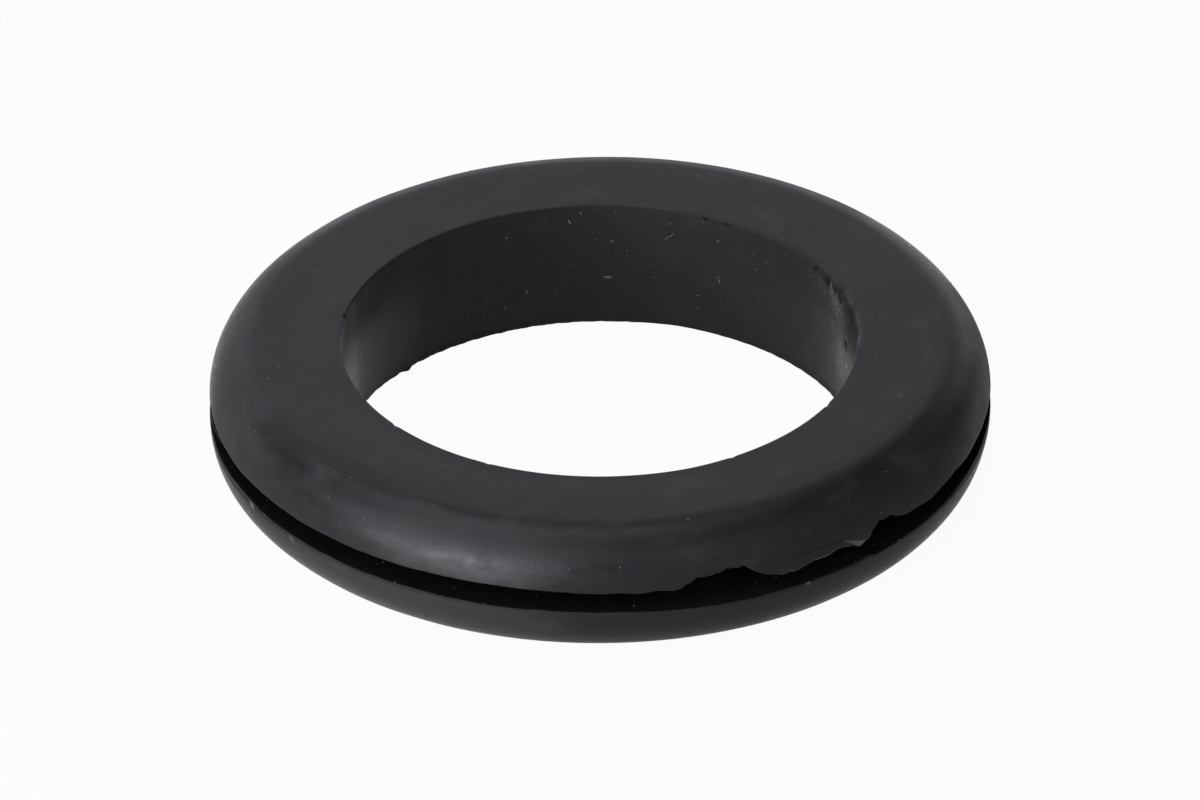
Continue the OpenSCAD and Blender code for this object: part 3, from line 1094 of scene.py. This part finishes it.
floor_mesh = bpy.data.meshes.new("floor")
half = FLOOR_SIZE / 2
floor_corners = [(-half, -half, 0), (half, -half, 0), (half, half, 0), (-half, half, 0)]
floor_mesh.from_pydata(floor_corners, [], [(0, 1, 2, 3)])
floor = bpy.data.objects.new("floor", floor_mesh)
bpy.context.scene.collection.objects.link(floor)


def white_floor(make):
    """How much of the floor is plain, and how bright that is: white for the camera, and in a reflection
    grey, lighter at the left, where most of the soft boxes stand, and nearly white in front of the key."""
    seen = make("ShaderNodeLightPath", output="Is Camera Ray")
    bounced = seen.other("Is Glossy Ray").apply("MAXIMUM", seen.other("Is Transmission Ray"))
    spot = make("ShaderNodeTexCoord", output="Object")
    away = make("ShaderNodeVectorMath", {"operation": "DISTANCE"}, output="Value", in_0=spot, in_1=POOL_AT)
    sideways = make("ShaderNodeSeparateXYZ", Vector=spot)
    mirrored = sideways.step(LIT_SIDE[0], SHADED_SIDE[0], LIT_SIDE[1], SHADED_SIDE[1])
    mirrored = mirrored + away.step(*POOL_R, POOL, 0.0)
    share = (seen * FLOOR_WHITE).apply("MAXIMUM", bounced * FLOOR_MIRRORED)
    return share, seen.apply("MAXIMUM", mirrored)


pale_floor = bpy.data.materials.new("pale_floor")
wire = start_material(pale_floor)
plain = wire.add("ShaderNodeBsdfDiffuse", Color=FLOOR_COLOUR)
share, brightness = white_floor(wire.add)
white = wire.add("ShaderNodeEmission", Color=brightness, Strength=1.0)
mixed = wire.add("ShaderNodeMixShader", in_0=share, in_1=plain, in_2=white)
finish_material(pale_floor, mixed)
floor_mesh.materials.append(pale_floor)
print(f"floor {FLOOR_SIZE:.0f} m wide")

world = bpy.data.worlds.new("studio")
world.use_nodes = True
world.node_tree.nodes.clear()
wire = Wire(world.node_tree)
fill = wire.add("ShaderNodeBackground", Color=(1, 1, 1, 1), Strength=WORLD_FILL)
backdrop = wire.add("ShaderNodeBackground", Color=(1, 1, 1, 1), Strength=1.0)
seen = wire.add("ShaderNodeLightPath", output="Is Camera Ray")
mixed = wire.add("ShaderNodeMixShader", in_0=seen, in_1=fill, in_2=backdrop)
output = world.node_tree.nodes.new("ShaderNodeOutputWorld")
world.node_tree.links.new(mixed.socket, output.inputs["Surface"])
bpy.context.scene.world = world

# %% [markdown]
# Large boxes give broad highlights with soft edges. Each one is placed by the part of the sky that it
# fills, as seen from the ring, so its size and its place can be set apart.

# %% Soft boxes
LIGHT_DISTANCE = 0.70
# Name, azimuth, elevation, width and height in degrees as seen from the ring, and strength. The strength
# is the light that falls on a sheet facing the box, on the scale on which a sun of that strength gives it.
SOFT_BOXES = [
    ("key", 236, 8, 20, 16, 1.16),
    ("key_left", 216, 8, 24, 16, 0.56),
    ("left_low", 196, 12, 30, 22, 0.06),
    ("left_upper", 222, 30, 70, 22, 0.95),
    ("left_high", 234, 50, 60, 26, 0.47),
    ("top_left", 180, 66, 40, 30, 0.53),
    ("top", 0, 89, 30, 30, 0.28),
    ("top_back", 90, 66, 40, 30, 0.11),
    ("front_right", 310, 34, 40, 28, 0.23),
    ("right", 25, 32, 70, 28, 0.14),
    ("back", 90, 32, 36, 28, 0.11),
    ("back_left", 125, 32, 40, 28, 0.3),
    ("back_low", 86, 8, 70, 20, 0.56),
    ("back_left_low", 150, 8, 34, 22, 0.25),
    ("right_low", 350, 10, 30, 22, 0.05),
]
LIGHT_COLOUR = (0.945, 0.915, 1.0)


def soft_box(name, azimuth, elevation, width, box_height, strength):
    """A rectangular area light that faces the ring."""
    data = bpy.data.lights.new(name, "AREA")
    data.shape = "RECTANGLE"
    data.size = 2 * LIGHT_DISTANCE * math.tan(math.radians(width / 2))
    data.size_y = 2 * LIGHT_DISTANCE * math.tan(math.radians(box_height / 2))
    data.energy = strength * math.pi * LIGHT_DISTANCE**2
    data.color = LIGHT_COLOUR
    light = bpy.data.objects.new(name, data)
    around_by, up_by = math.radians(azimuth), math.radians(elevation)
    level_share = math.cos(up_by)
    toward = Vector((math.cos(around_by) * level_share, math.sin(around_by) * level_share, math.sin(up_by)))
    light.location = centre + toward * LIGHT_DISTANCE
    light.rotation_mode = "QUATERNION"
    light.rotation_quaternion = toward.to_track_quat("Z", "Y")
    bpy.context.scene.collection.objects.link(light)


for box in SOFT_BOXES:
    soft_box(*box)
print(len(SOFT_BOXES), "soft boxes")

# %% [markdown]
# Every finished piece is handed over with the body that carries it. The ring stands in for the solid,
# and the two helpers that only held points are removed.

# %% Hand over
bpy.context.scene.view_settings.view_transform = "Standard"
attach(ring, "root")
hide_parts("grommet")
for piece in (dust, sliver, lint, curled_chip):
    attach(piece, "root")
for spare in (section_drawing, fleck_places):
    bpy.data.objects.remove(spare)
